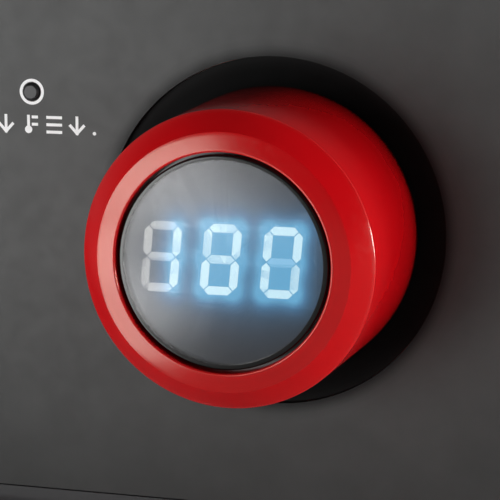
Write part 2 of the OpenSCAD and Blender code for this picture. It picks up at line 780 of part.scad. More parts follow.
// Ring that keeps the lens's brim up against the housing
module lens_spacer() color(rubber_black) on_pod() translate([0, 0, board_post_z]) difference() {
  cylinder(r = ring_r + 2.6, h = brim_z - brim_t - board_post_z);
  translate([0, 0, -1]) cylinder(r = ring_r + 0.3, h = 20);
}

// Three screws round the edge of the display board, from its front face
module display_screw_places() {
  for (a = [90, 210, 330]) rotate([0, 0, a]) translate([ring_r + 4, 0, board_post_z]) children();
}

module display_screws() color(steel) on_pod() display_screw_places() {
  translate([0, 0, -1.6]) cylinder(r = 0.8, h = 6);
  translate([0, 0, -2.6]) cylinder(r = 1.3, h = 1);
}

// Outline of one segment lying along x, with pointed ends
module segment_bar(length) {
  polygon([
    [-length / 2, 0], [-length / 2 + stroke / 2, stroke / 2], [length / 2 - stroke / 2, stroke / 2],
    [length / 2, 0], [length / 2 - stroke / 2, -stroke / 2], [-length / 2 + stroke / 2, -stroke / 2]
  ]);
}

// Places of segments a to g, as [x, y, turned], from the digit's centre
bar_h = (digit_h - stroke) / 2;
bar_w = digit_w - stroke;
segment_places = [
  [0, bar_h, 0], [bar_w / 2, bar_h / 2, 90], [bar_w / 2, -bar_h / 2, 90], [0, -bar_h, 0],
  [-bar_w / 2, -bar_h / 2, 90], [-bar_w / 2, bar_h / 2, 90], [0, 0, 0]
];
lit_segments = [[1, 2], [0, 1, 2, 3, 4, 5, 6], [0, 1, 2, 3, 4, 5]];

module digit_segments(lit) {
  for (digit = [0 : 2], k = [0 : 6])
    if ((len(search(k, lit_segments[digit])) > 0) == lit) let (p = segment_places[k])
      translate([digits_at[0] + (digit - 1) * digit_pitch, digits_at[1]])
        multmatrix([[1, digit_slant, 0, 0], [0, 1, 0, 0], [0, 0, 1, 0], [0, 0, 0, 1]])
          translate([p[0], p[1]]) rotate([0, 0, p[2]])
            segment_bar((p[2] == 0 ? bar_w : bar_h) - segment_gap);
}

module digit_mask() color(rubber_black) on_pod() translate([0, 0, mask_z - mask_t]) difference() {
  cylinder(r = lens_r - cup_t - 0.1, h = mask_t);
  translate([0, 0, -1]) linear_extrude(mask_t + 2) {
    digit_segments(true);
    digit_segments(false);
  }
}

module segments_lit() color([0.8, 0.95, 1]) on_pod()
  translate([0, 0, mask_z - mask_t]) linear_extrude(mask_t) digit_segments(true);

module segments_dark() color([0.7, 0.7, 0.72]) on_pod()
  translate([0, 0, mask_z - mask_t]) linear_extrude(mask_t) digit_segments(false);

module led_module() color([0.85, 0.85, 0.85]) on_pod() {
  translate([-18.8 + digits_at[0], -9.5 + digits_at[1], board_post_z]) cube([37.6, 19, 8]);
  for (i = [-2.5 : 1 : 2.5], s = [-1, 1])
    translate([i * 2.54, s * 7.62, board_post_z - 3]) cylinder(r = 0.3, h = 3, $fn = 16);
}

module display_board() color(board_green) on_pod() difference() {
  translate([0, 0, board_post_z - 1.6]) cylinder(r = pod_base_r - pod_wall - 1.1, h = 1.6);
  display_screw_places() translate([0, 0, -3]) cylinder(r = 0.8, h = 5);
  for (i = [-2.5 : 1 : 2.5], s = [-1, 1])
    translate([i * 2.54, s * 7.62, board_post_z - 3]) cylinder(r = 0.3, h = 4, $fn = 16);
}

// Flat cable from the display board back and across to the control board
module ribbon_cable() color([0.6, 0.6, 0.62]) {
  strip = 0.8;
  x0 = key_x + 13;
  x1 = pod_x - 14;
  y0 = front_y - board_post_z + 1.6;
  y1 = board_y + board_t + 5;
  translate([0, 0, pod_z + 12.5]) linear_extrude(9) polygon([
    [x1, y0], [x1 + strip, y0], [x1 + strip, y1 - 3],
    for (a = [0 : 30 : 90]) [x1 + strip - 3 + 3 * cos(a), y1 - 3 + 3 * sin(a)],
    [x0 - 2, y1], [x0 - 2, board_y + board_t],
    [x0 - 2 + strip, board_y + board_t], [x0 - 2 + strip, y1 - strip],
    for (a = [90 : -30 : 0]) [x1 + strip - 3 + (3 - strip) * cos(a), y1 - 3 + (3 - strip) * sin(a)]
  ]);
}

// ---------- power ----------

module power_board() color(board_green) difference() {
  translate([70, trough_cy - 34, power_z]) cube([42, 66, board_t]);
  power_screw_places() translate([0, 0, -1]) cylinder(r = 1.2, h = 4);
}

module power_parts() {
  z0 = power_z + board_t;
  color([0.85, 0.75, 0.2]) translate([80, trough_cy - 30, z0]) cube([20, 22, 18]);
  color([0.1, 0.2, 0.5]) translate([76, trough_cy - 4, z0]) cube([19, 15, 15]);
  color(rubber_black) translate([104, trough_cy + 2, z0]) cylinder(r = 5, h = 18);
  color(rubber_black) translate([104, trough_cy + 16, z0]) cylinder(r = 5, h = 18);
  color(steel) translate([76, trough_cy + 16, z0]) cube([16, 3, 20]);
}

module power_inlet() color(rubber_black) difference() {
  union() {
    on_front(inlet_x, inlet_z, back_y, back_y + 2.6) rounded_rect(inlet_flange[0], inlet_flange[1], 4);
    on_front(inlet_x, inlet_z, back_y - inlet_depth - 2, back_y)
      square([inlet_socket[0] + 3, inlet_socket[1] + 3], center = true);
  }
  on_front(inlet_x, inlet_z, back_y - inlet_depth, back_y + 5) polygon([
    for (p = [[-1, -1], [1, -1], [1, 0.45], [0.72, 1], [-0.72, 1], [-1, 0.45]])
      [p[0] * inlet_socket[0] / 2, p[1] * inlet_socket[1] / 2]
  ]);
  for (s = [-1, 1]) rod_y(inlet_x + s * 20, inlet_z, back_y - 1, back_y + 5, 1.6);
  for (p = [[-7, -2], [7, -2], [0, 2]])
    on_front(inlet_x + p[0], inlet_z + p[1], back_y - inlet_depth - 3, back_y - inlet_depth + 1)
      square([2, 4], center = true);
}

module inlet_pins() color(steel)
  for (p = [[-7, -2], [7, -2], [0, 2]])
    on_front(inlet_x + p[0], inlet_z + p[1], back_y - inlet_depth - 8, back_y - 5)
      square([2, 4], center = true);

module inlet_screws() color(steel)
  for (s = [-1, 1]) translate([inlet_x + s * 20, back_y + 2.6, inlet_z]) rotate([90, 0, 0])
    screw(1.5, 8, 2.8, 1.6);

// ---------- closing ----------

module tub_gasket() color(rubber_black) difference() {
  inset_prism(wall + 0.5, deck_z, split_z + 0.3);
  inset_prism(wall + 4, deck_z - 1, split_z + 1);
}

module magnet_places() {
  for (s = [-1, 1]) translate([s * magnet_x, front_y + 13, 0]) children();
}

module base_magnets() color(steel)
  magnet_places() translate([0, 0, deck_z]) cylinder(r = magnet_r, h = magnet_t);

module hinge_pins() color(steel)
  for (s = [-1, 1]) let (half = 1.5 * knuckle_len - knuckle_gap)
    rod_x(hinge_y, split_z, s * hinge_x - half, s * hinge_x + half, hinge_pin_r);

// ---------- lid ----------

frame_z0 = split_z + lid_gap;
frame_z1 = frame_z0 + frame_h;

// Tabs that carry the lid's magnets
module magnet_tabs() {
  magnet_places() translate([-6, -9, frame_z0]) cube([12, 14, 4]);
}

module lid_frame() color(graphite) difference() {
  union() {
    upright(body_w, body_d, corner_r, frame_z0, frame_z1);
    for (s = [-1, 1]) let (half = knuckle_len / 2 - knuckle_gap)
      hinge_knuckle(s * hinge_x - half, s * hinge_x + half, hinge_pin_r + hinge_gap,
                    split_z + 0.8, split_z + 5);
    // finger lip at the front
    translate([0, front_y - 7 + 10, frame_z0 + 3]) linear_extrude(6) rounded_rect(70, 20, 6);
    magnet_tabs();
  }
  difference() {
    inset_prism(frame_t, frame_z0 - 1, frame_z1 + 1);
    magnet_tabs();
  }
  // groove that takes the window's edge
  difference() {
    inset_prism(window_inset, window_z0, frame_z1 + 1);
    inset_prism(window_inset + window_t, window_z0 - 1, frame_z1 + 2);
  }
  magnet_places() translate([0, 0, frame_z0 - 1]) cylinder(r = magnet_r, h = 1 + magnet_t);
}

module lid_magnets() color(steel)
  magnet_places() translate([0, 0, frame_z0]) cylinder(r = magnet_r, h = magnet_t);

// Rectangle whose two right-hand corners are rounded, from x = 0
module arch_section(r, d, e) {
  translate([0, -d / 2]) square([r - e, d]);
  translate([0, -d / 2 + e]) square([r, d - 2 * e]);
  for (s = [-1, 1]) translate([r - e, s * (d / 2 - e)]) circle(e);
}

// Arched block: straight sides, two quarter bends and a flat crown, all with one edge radius
module arch_block(inset, z0) {
  w = body_w - 2 * inset;
  d = body_d - 2 * inset;
  e = corner_r - inset;
  r = arch_r - inset + window_inset;
  upright(w, d, e, z0, bend_z);
  for (s = [-1, 1])
    translate([s * (w / 2 - r), cy, bend_z]) rotate([90, 0, 0]) rotate([0, 0, s > 0 ? 0 : 90])
      rotate_extrude(angle = 90) arch_section(r, d, e);
  translate([0, cy, bend_z]) rotate([0, -90, 0]) linear_extrude(w - 2 * r, center = true)
    arch_section(r, d, e);
}

// Part of the window's shell, from y0 to y1 and z0 to z1
module window_part(y0, y1, z0, z1) {
  difference() {
    intersection() {
      arch_block(window_inset, window_z0);
      translate([-body_w / 2, y0, z0]) cube([body_w, y1 - y0, z1 - z0]);
    }
    arch_block(window_inset + window_t, window_z0 - 10);
  }
}

// Bent cover over the top
module lid_window() color(smoke)
  window_part(front_y + window_seam, back_y - window_seam, side_top, top_z + 1);

// Flat sides with the holes of the outlets, bonded under the cover
module lid_sides() color(smoke) difference() {
  window_part(front_y + window_seam, back_y - window_seam, window_z0 - 1, side_top - seam_gap);
  for (s = [-1, 1]) let (middle = s * (outlet_face - window_t / 2))
    rod_x(trough_cy, outlet_z, middle - 6, middle + 6, outlet_r + 0.2);
}

// Two equal moulded end panes, front and back
module lid_panes() color(smoke) {
  window_part(front_y, front_y + window_seam - seam_gap, window_z0 - 1, top_z + 1);
  window_part(back_y - window_seam + seam_gap, back_y, window_z0 - 1, top_z + 1);
}

// Flanged bush through a side of the window, made along +Z with its mouth at the top
module outlet_bush() {
  difference() {
    union() {
      cylinder(r = outlet_r, h = 12);
      translate([0, 0, 8.1]) cylinder(r = 9, h = 2.4);
      translate([0, 0, 10.5]) cylinder(r1 = 7, r2 = 5.4, h = 3.5);
    }
    translate([0, 0, -1]) cylinder(r = outlet_bore_d / 2, h = 20);
  }
}

module on_outlet(s) {
  translate([s * (outlet_face - 8.1), trough_cy, outlet_z]) rotate([0, s * 90, 0]) children();
}

module outlet_nuts() color(dark_plastic) for (s = [-1, 1]) on_outlet(s) difference() {
  translate([0, 0, 1.8]) cylinder(r = 9.4, h = 3.8, $fn = 6);
  translate([0, 0, -1]) cylinder(r = outlet_r, h = 12);
}

base_shell();
base_cover();
cover_screws();
feet();
drying_tub();
air_grille();
tub_screws();
roller_brackets();
roller_bearings();
bracket_screws();
humidity_sensor();
heater_core();
heater_duct();
fan_frame();
fan_screws();
fan_rotor();
roller_axle(-1);  // roller_left_axle
roller_drum(-1);  // roller_left_drum
roller_bands(-1);  // roller_left_bands
roller_axle(1);  // roller_right_axle
roller_drum(1);  // roller_right_drum
roller_bands(1);  // roller_right_bands
front_panel();
panel_screws();
control_board();
board_screws();
tact_switches();
key_cap(0);  // key_down
key_cap(1);  // key_up
key_cap(2);  // key_timer
rocker_frame();
rocker();
pod_housing();
pod_gasket();
pod_screws();
display_lens();
lens_spacer();
digit_mask();
segments_lit();
segments_dark();
led_module();
display_board();
display_screws();
ribbon_cable();
power_board();
power_parts();
power_inlet();
inlet_pins();
inlet_screws();
tub_gasket();
base_magnets();
hinge_pins();
lid_frame();
lid_window();
lid_sides();
lid_panes();
lid_magnets();
color(dark_plastic) on_outlet(-1) outlet_bush();  // outlet_left
color(dark_plastic) on_outlet(1) outlet_bush();  // outlet_right
outlet_nuts();
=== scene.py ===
"""Looks of the dryer box. Every piece is in metres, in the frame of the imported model."""

import math

import bpy
import numpy as np
from mathutils import Matrix, Vector


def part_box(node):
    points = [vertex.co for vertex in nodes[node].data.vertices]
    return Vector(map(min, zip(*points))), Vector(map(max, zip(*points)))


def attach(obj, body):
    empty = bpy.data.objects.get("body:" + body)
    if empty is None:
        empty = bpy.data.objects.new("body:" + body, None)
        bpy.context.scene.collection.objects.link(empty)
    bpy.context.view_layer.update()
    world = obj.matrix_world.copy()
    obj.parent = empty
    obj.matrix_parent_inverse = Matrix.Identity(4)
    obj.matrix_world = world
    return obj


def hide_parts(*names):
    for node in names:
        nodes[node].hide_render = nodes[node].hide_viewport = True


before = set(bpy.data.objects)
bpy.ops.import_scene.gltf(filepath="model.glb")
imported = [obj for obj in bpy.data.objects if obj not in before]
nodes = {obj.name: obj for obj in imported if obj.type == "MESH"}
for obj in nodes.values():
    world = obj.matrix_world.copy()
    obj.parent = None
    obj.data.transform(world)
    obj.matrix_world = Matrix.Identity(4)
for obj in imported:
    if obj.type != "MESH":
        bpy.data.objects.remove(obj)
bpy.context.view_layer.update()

MM = 0.001
TURN = 2 * math.pi


def centre(node):
    low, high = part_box(node)
    return (low + high) / 2


# The pod's axis meets the panel's face here. Out of the panel is -Y.
PANEL_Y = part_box("front_panel")[0].y
POD = Vector((centre("pod_housing").x, PANEL_Y, centre("pod_housing").z))
RECESS_R = 37.5  # radius of the round recess in the panel, in millimetres


def from_pod(right, up, out):
    """A point given in millimetres from the pod's axis, as somebody facing the panel sees it."""
    return POD + Vector((right, -out, up)) * MM


# ---------- camera ----------

LENS_MM = 144
SENSOR_MM = 36
CAMERA_FROM_POD = (111.66, 73.29, 404.57)
CAMERA_RIGHT = Vector((0.9608, 0.2772, 0.0009))
CAMERA_UP = Vector((-0.0510, 0.1734, 0.9835))
CAMERA_BACK = Vector((0.2725, -0.9450, 0.1808))


def make_camera():
    data = bpy.data.cameras.new("camera")
    data.lens = LENS_MM
    data.sensor_width = SENSOR_MM
    data.clip_start = 0.02
    camera = bpy.data.objects.new("camera", data)
    bpy.context.scene.collection.objects.link(camera)
    turn = Matrix((CAMERA_RIGHT, CAMERA_UP, CAMERA_BACK)).transposed()
    camera.matrix_world = Matrix.Translation(from_pod(*CAMERA_FROM_POD)) @ turn.to_4x4()
    bpy.context.scene.camera = camera


# ---------- meshes ----------


def add_mesh(name, verts, faces, body, material, smooth=True):
    mesh = bpy.data.meshes.new(name)
    mesh.from_pydata([tuple(v) for v in verts], [], faces)
    mesh.validate()
    mesh.polygons.foreach_set("use_smooth", [smooth] * len(mesh.polygons))
    piece = bpy.data.objects.new(name, mesh)
    bpy.context.scene.collection.objects.link(piece)
    mesh.materials.append(material)
    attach(piece, body)
    return piece


def circle(radius, steps, x=0.0, y=0.0):
    """Points of a circle, as (x, y)."""
    turns = [TURN * i / steps for i in range(steps)]
    return [(x + radius * math.cos(a), y + radius * math.sin(a)) for a in turns]


def arc(r, out, radius, start, end, steps):
    """Profile points on a small arc, with its angles in degrees from the outward radius."""
    angles = [math.radians(start + (end - start) * i / steps) for i in range(steps + 1)]
    return [(r + radius * math.cos(a), out + radius * math.sin(a)) for a in angles]


REVOLVE_STEPS = 288
SHARP_DEGREES = 30


def revolve(name, profile, body, material):
    """Turns a closed profile of (radius, out) points, in millimetres, about the pod's axis."""
    count = len(profile)
    verts = [
        from_pod(r * right, r * up, out)
        for right, up in circle(1, REVOLVE_STEPS)
        for r, out in profile
    ]
    faces = []
    for i in range(REVOLVE_STEPS):
        here, there = i * count, (i + 1) % REVOLVE_STEPS * count
        for k in range(count):
            nxt = (k + 1) % count
            faces.append((here + k, here + nxt, there + nxt, there + k))
    piece = add_mesh(name, verts, faces, body, material)
    mark_sharp(piece)
    return piece


def mark_sharp(piece):
    """Marks the edges that turn by more than SHARP_DEGREES, so that smooth shading stops there."""
    mesh = piece.data
    normals = [p.normal.copy() for p in mesh.polygons]
    sides = {}
    for polygon in mesh.polygons:
        for key in polygon.edge_keys:
            sides.setdefault(key, []).append(polygon.index)
    limit = math.radians(SHARP_DEGREES)
    sharp = []
    for edge in mesh.edges:
        pair = sides.get(edge.key, [])
        sharp.append(len(pair) == 2 and normals[pair[0]].angle(normals[pair[1]], 0) > limit)
    layer = mesh.attributes.new("sharp_edge", "BOOLEAN", "EDGE")
    layer.data.foreach_set("value", sharp)


# ---------- materials ----------

NOISE_LOW, NOISE_HIGH = 0.3, 0.7  # nearly all of a noise lies between these
ORANGE_PEEL = 0.00001


class Shader:
    """A Principled material with a few helpers for its procedural inputs."""

    def __init__(self, name, **sockets):
        self.material = bpy.data.materials.new(name)
        self.material.use_nodes = True
        self.tree = self.material.node_tree
        self.surface = self.tree.nodes["Principled BSDF"]
        self.place = self.add("ShaderNodeTexCoord").outputs["Object"]
        for socket, value in sockets.items():
            self.surface.inputs[socket.replace("_", " ")].default_value = value

    def add(self, kind, **inputs):
        node = self.tree.nodes.new(kind)
        for socket, value in inputs.items():
            self.put(node.inputs[socket.replace("_", " ")], value)
        return node

    def put(self, socket, value):
        if isinstance(value, bpy.types.NodeSocket):
            self.tree.links.new(value, socket)
        else:
            socket.default_value = value

    def noise(self, per_metre, detail=2.0, stretch=(1, 1, 1)):
        mapping = self.add("ShaderNodeMapping", Vector=self.place, Scale=stretch)
        made = self.add(
            "ShaderNodeTexNoise",
            Vector=mapping.outputs["Vector"],
            Scale=per_metre,
            Detail=detail,
        )
        return made.outputs["Fac"]

    def ramp(self, factor, stops):
        """stops is a list of (position, colour)"""
        node = self.add("ShaderNodeValToRGB", Fac=factor)
        elements = node.color_ramp.elements
        while len(elements) < len(stops):
            elements.new(0.5)
        for element, (position, colour) in zip(elements, stops):
            element.position = position
            element.color = (*colour, 1)
        return node.outputs["Color"]

    def drift(self, noise, low, high):
        """A slow change from one colour to another, over the useful middle of a noise."""
        return self.ramp(noise, [(NOISE_LOW, low), (NOISE_HIGH, high)])

    def multiply(self, one, other):
        node = self.add("ShaderNodeMix")
        node.data_type = "RGBA"
        node.blend_type = "MULTIPLY"
        node.inputs[0].default_value = 1
        self.tree.links.new(one, node.inputs[6])
        self.tree.links.new(other, node.inputs[7])
        return node.outputs[2]

    def span(self, noise, low, high):
        """Maps the useful middle of a noise onto low to high."""
        node = self.add("ShaderNodeMapRange", Value=noise)
        node.inputs["From Min"].default_value = NOISE_LOW
        node.inputs["From Max"].default_value = NOISE_HIGH
        node.inputs["To Min"].default_value = low
        node.inputs["To Max"].default_value = high
        return node.outputs["Result"]

    def measure(self, value, start_mm, end_mm):
        """Where a length lies between two, as 0 to 1."""
        node = self.add("ShaderNodeMapRange", Value=value)
        node.inputs["From Min"].default_value = start_mm * MM
        node.inputs["From Max"].default_value = end_mm * MM
        return node.outputs["Result"]

    def offset_from_pod(self):
        """Vector from the point where the pod's axis meets the panel."""
        node = self.add("ShaderNodeVectorMath", Vector=self.place)
        node.operation = "SUBTRACT"
        node.inputs[1].default_value = POD
        return node.outputs["Vector"]

    def pod_radius(self):
        """Distance from the pod's axis."""
        flat = self.add("ShaderNodeVectorMath")
        flat.operation = "MULTIPLY"
        flat.inputs[1].default_value = (1, 0, 1)
        length = self.add("ShaderNodeVectorMath")
        length.operation = "LENGTH"
        self.tree.links.new(self.offset_from_pod(), flat.inputs[0])
        self.tree.links.new(flat.outputs["Vector"], length.inputs[0])
        return length.outputs["Value"]

    def shade(self, factor, stops):
        """A grey ramp, whose stops are (position, level)."""
        return self.ramp(factor, [(at, (level,) * 3) for at, level in stops])

    def bump(self, height, strength, distance):
        node = self.add("ShaderNodeBump", Height=height, Strength=strength, Distance=distance)
        self.tree.links.new(node.outputs["Normal"], self.surface.inputs["Normal"])

    def colour(self, value):
        self.put(self.surface.inputs["Base Color"], value)

    def roughness(self, value):
        self.put(self.surface.inputs["Roughness"], value)


def scaled(colour, factor):
    return tuple(c * factor for c in colour)


def moulded(name, colour, rough, grain=1800, relief=0.00002, drift=0.06, cloud=45, **sockets):
    """Moulded plastic or rubber: a fine grain, and a slow drift of its colour and gloss."""
    s = Shader(name, **sockets)
    s.colour(s.drift(s.noise(cloud, 4), scaled(colour, 1 - drift), scaled(colour, 1 + drift)))
    s.roughness(s.span(s.noise(cloud * 2, 3), rough * 0.92, min(1, rough * 1.08)))
    s.bump(s.noise(grain, 2), 0.6, relief)
    return s.material


def metal(name, colour, rough, stretch=(1, 1, 1)):
    """Metal with fine drawn lines along the unstretched axes."""
    s = Shader(name, Metallic=1.0)
    lines = s.noise(2200, 2, stretch)
    s.colour(s.drift(s.noise(150, 3), scaled(colour, 0.9), scaled(colour, 1.05)))
    s.roughness(s.span(lines, rough * 0.8, rough * 1.3))
    s.bump(lines, 0.3, ORANGE_PEEL)
    return s.material


def panel_plastic():
    """Satin dark grey, faintly mottled, with painted shade that darkens it round the recess."""
    grey = (0.087, 0.088, 0.087)
    s = Shader("panel_plastic", Specular_IOR_Level=0.2)
    blotch = s.ramp(s.noise(110, 5), [(0.32, scaled(grey, 0.94)), (0.68, scaled(grey, 1.06))])
    # Painted shade: the panel's colour darkens toward the recess round the pod.
    recess_shade = s.measure(s.pod_radius(), RECESS_R - 0.1, RECESS_R + 3.9)
    stops = [(0.0, 0.19), (0.12, 0.23), (0.35, 0.54), (0.65, 0.88), (1.0, 1.0)]
    s.colour(s.multiply(blotch, s.shade(recess_shade, stops)))
    s.roughness(s.span(s.noise(260, 3), 0.46, 0.56))
    s.bump(s.noise(2600, 2), 0.5, 0.00002)
    return s.material


def recess_foam():
    """Black foam, with painted shade that darkens it toward the pod, so that it is a little greyer
    toward its outer edge.
    """
    s = Shader("black_foam", Specular_IOR_Level=0.1)
    # Painted shade: the foam is darkest beside the pod and a little greyer toward the recess's
    # edge.
    outer = s.measure(s.pod_radius(), RECESS_R - 3, RECESS_R)
    s.colour(s.shade(outer, [(0.0, 0.006), (0.5, 0.009), (1.0, 0.016)]))
    s.roughness(s.span(s.noise(90, 3), 0.83, 0.97))
    s.bump(s.noise(3000, 2), 0.6, 0.00002)
    return s.material


def pod_gloss():
    """Gloss red with the slightest orange peel, darkened toward the panel by painted shade, and
    duller on the bevel.
    """
    red = (0.56, 0.002, 0.005)
    s = Shader("pod_gloss", Specular_Tint=(1.0, 0.93, 0.80, 1.0))
    even = s.drift(s.noise(90, 4), scaled(red, 0.95), scaled(red, 1.05))
    parts = s.add("ShaderNodeSeparateXYZ", Vector=s.offset_from_pod())
    # Painted shade: the red darkens toward the panel, to less than half at the foot.
    foot_shade = s.measure(parts.outputs["Y"], -32, 0)
    s.colour(s.multiply(even, s.shade(foot_shade, [(0.0, 1.0), (0.55, 0.72), (1.0, 0.45)])))
    across = s.measure(s.pod_radius(), 25, 31)
    bevel = s.shade(across, [(0.13, 0.6), (0.19, 0.3), (0.71, 0.3), (0.77, 0.6)])
    s.put(s.surface.inputs["Specular IOR Level"], bevel)
    s.roughness(s.span(s.noise(700, 3), 0.15, 0.21))
    s.bump(s.noise(500, 2), 0.25, ORANGE_PEEL)
    return s.material


def smoked(name, tint, rough, clear, haze, sheen=1.0, wiped=0.95, streak=(1, 1, 1)):
    """Smoked clear plastic, slightly hazy. Its gloss drops to the wiped share in faint streaks."""
    s = Shader(name, Specular_IOR_Level=0.0, Roughness=0.9)
    s.colour(s.drift(s.noise(30, 3), scaled(tint, 0.9), scaled(tint, 1.1)))
    through = s.add("ShaderNodeBsdfTransparent", Color=(*clear, 1))
    body = s.add("ShaderNodeMixShader", Fac=haze)
    s.tree.links.new(through.outputs["BSDF"], body.inputs[1])
    s.tree.links.new(s.surface.outputs["BSDF"], body.inputs[2])
    streaks = s.shade(s.noise(70, 5, streak), [(NOISE_LOW, wiped * sheen), (NOISE_HIGH, sheen)])
    gloss = s.add("ShaderNodeBsdfGlossy", Color=streaks, Roughness=rough)
    whole = s.add("ShaderNodeMixShader", Fac=s.add("ShaderNodeFresnel", IOR=1.49).outputs["Fac"])
    s.tree.links.new(body.outputs["Shader"], whole.inputs[1])
    s.tree.links.new(gloss.outputs["BSDF"], whole.inputs[2])
    s.tree.links.new(whole.outputs["Shader"], s.tree.nodes["Material Output"].inputs["Surface"])
    return s.material


def diffuser(name, colour):
    """A segment's diffuser, slightly uneven in its colour and its light; an unlit segment's light
    is a painted glow.
    """
    s = Shader(name, Roughness=0.4)
    s.colour(s.drift(s.noise(900, 2), scaled(colour, 0.95), colour))
    uneven = s.ramp(s.noise(420, 2), [(0.35, colour), (0.65, scaled(colour, 1.04))])
    s.put(s.surface.inputs["Emission Color"], uneven)
    return s


def lit_segments():
    s = diffuser("segment_lit", (0.82, 0.73, 0.54))
    s.put(s.surface.inputs["Emission Strength"], 0.32)
    return s.material


def unlit_segments():
    """Unlit segments with a painted glow in place of the room's light they catch, stronger on the
    pod's left than on its right.
    """
    s = diffuser("segment_ghost", (0.44, 0.43, 0.40))
    parts = s.add("ShaderNodeSeparateXYZ", Vector=s.offset_from_pod())
    # Painted light: emission on the unlit segments, strongest on the pod's left.
    level = s.shade(s.measure(parts.outputs["X"], -7, 8), [(0.0, 0.7), (1.0, 0.12)])
    s.put(s.surface.inputs["Emission Strength"], level)
    return s.material


def circuit_board():
    """Green solder mask with darker copper runs under it."""
    s = Shader("circuit_board", Coat_Weight=0.4)
    cells = s.add("ShaderNodeTexVoronoi", Vector=s.place, Scale=350)
    cells.distance = "MANHATTAN"
    copper, mask = (0.008, 0.09, 0.035), (0.012, 0.14, 0.055)
    s.colour(s.ramp(cells.outputs["Distance"], [(0.25, copper), (0.4, mask)]))
    s.roughness(s.span(s.noise(300, 2), 0.3, 0.45))
    s.bump(cells.outputs["Distance"], 0.3, 0.00005)
    return s.material


MATERIALS = {
    "shell": moulded("graphite_abs", (0.075, 0.075, 0.078), 0.55, grain=1500, relief=0.00004),
    "panel": panel_plastic(),
    "dark": moulded("black_plastic", (0.018, 0.018, 0.019), 0.45),
    "rubber": moulded("black_rubber", (0.014, 0.014, 0.014), 0.78, grain=2600, relief=0.00003),
    "foam": recess_foam(),
    "piano": moulded("black_gloss", (0.004, 0.004, 0.004), 0.16, relief=0.000002),
    "silicone": moulded("grey_silicone", (0.20, 0.20, 0.205), 0.6),
    "red": pod_gloss(),
    "steel": metal("zinc_steel", (0.58, 0.58, 0.60), 0.28, (1, 6, 1)),
    "sheet": metal("sheet_steel", (0.52, 0.53, 0.54), 0.36, (8, 1, 1)),
    "fins": metal("aluminium_fins", (0.78, 0.78, 0.79), 0.32, (1, 1, 8)),
    "board": circuit_board(),
    "white": moulded("white_plastic", (0.62, 0.62, 0.60), 0.4),
    "ink": moulded("white_ink", (0.95, 0.95, 0.95), 0.5, relief=0.000005, drift=0.02),
    "lens": smoked(
        "lens_smoke",
        (0.10, 0.10, 0.11),
        rough=0.15,
        clear=(0.80, 0.80, 0.81),
        haze=0.12,
        sheen=1.4,
        wiped=0.92,
        streak=(5, 1, 1.4),
    ),
    "window": smoked(
        "window_smoke", (0.06, 0.06, 0.065), rough=0.07, clear=(0.50, 0.52, 0.54), haze=0.10
    ),
    "cable": moulded("flat_cable", (0.30, 0.30, 0.32), 0.5),
    "lit": lit_segments(),
    "ghost": unlit_segments(),
}

NODE_MATERIALS = {
    "shell": ["base_shell", "drying_tub", "lid_frame", "roller_left_drum", "roller_right_drum"],
    "panel": ["front_panel"],
    "dark": [
        "base_cover",
        "air_grille",
        "roller_brackets",
        "fan_frame",
        "fan_rotor",
        "tact_switches",
        "key_down",
        "key_up",
        "key_timer",
        "rocker_frame",
        "lens_spacer",
        "power_inlet",
        "power_parts",
        "outlet_left",
        "outlet_right",
        "outlet_nuts",
        "digit_mask",
    ],
    "rubber": ["feet", "roller_left_bands", "roller_right_bands"],
    "foam": ["pod_gasket"],
    "silicone": ["tub_gasket"],
    "red": ["rocker", "pod_housing"],
    "steel": [
        "cover_screws",
        "tub_screws",
        "bracket_screws",
        "fan_screws",
        "panel_screws",
        "board_screws",
        "pod_screws",
        "display_screws",
        "inlet_screws",
        "inlet_pins",
        "hinge_pins",
        "roller_bearings",
        "roller_left_axle",
        "roller_right_axle",
        "base_magnets",
        "lid_magnets",
    ],
    "sheet": ["heater_duct"],
    "fins": ["heater_core"],
    "board": ["control_board", "display_board", "power_board"],
    "white": ["humidity_sensor", "led_module"],
    "window": ["lid_window", "lid_sides", "lid_panes"],
    "lens": ["display_lens"],
    "cable": ["ribbon_cable"],
    "lit": ["segments_lit"],
    "ghost": ["segments_dark"],
}


def dress_nodes():
    for key, names in NODE_MATERIALS.items():
        for name in names:
            mesh = nodes[name].data
            mesh.materials.clear()
            mesh.materials.append(MATERIALS[key])


# ---------- pod ----------

# Radii, and distances out of the panel, in millimetres.
FLANGE_R, FLANGE_BACK, FLANGE_FRONT = 45.5, -5.5, -2.5
BASE_R = 31.0  # the wall at the panel's face
EDGE_R, EDGE_OUT, EDGE_ROUND = 30.0, 34.0, 0.6  # front edge of the wall
EDGE_DROP = 0.4  # the centre of the edge's rounding lies this far behind it
BEVEL_R, BEVEL_ROUND = 25.9, 0.15  # inner edge of the bevel
HOLE_R, HOLE_ROUND, RING_OUT = 22.0, 0.4, 38.0  # opening that the lens is seen in
CROWN_DROP, CROWN_POWER = 0.62, 1.06
SEAT_R, SEAT_OUT = 24.7, 34.6  # the lens's brim sits here, behind the ring
LEDGE_R, LEDGE_OUT = 27.5, 25.5  # the display board is screwed to this ledge
FOOT_INNER_R = 28.4
LENS_OUT = 37.2
LENS_R, LENS_ROUND = 21.45, 0.5
LENS_CLEAR_R = 20.4  # the lens is clear inside this and black outside it
LENS_DEPTH = 1.2
LENS_OVERLAP = 0.2  # of the clear disc under the black rim
BRIM_R, BRIM_BACK = 24.4, 33.4
RIM_INNER_R = 20.7


def crown(r):
    """Height of the ring round the lens: a shallow cone that flattens a little inwards."""
    return RING_OUT - CROWN_DROP * ((r - HOLE_R) / (BEVEL_R - HOLE_R)) ** CROWN_POWER


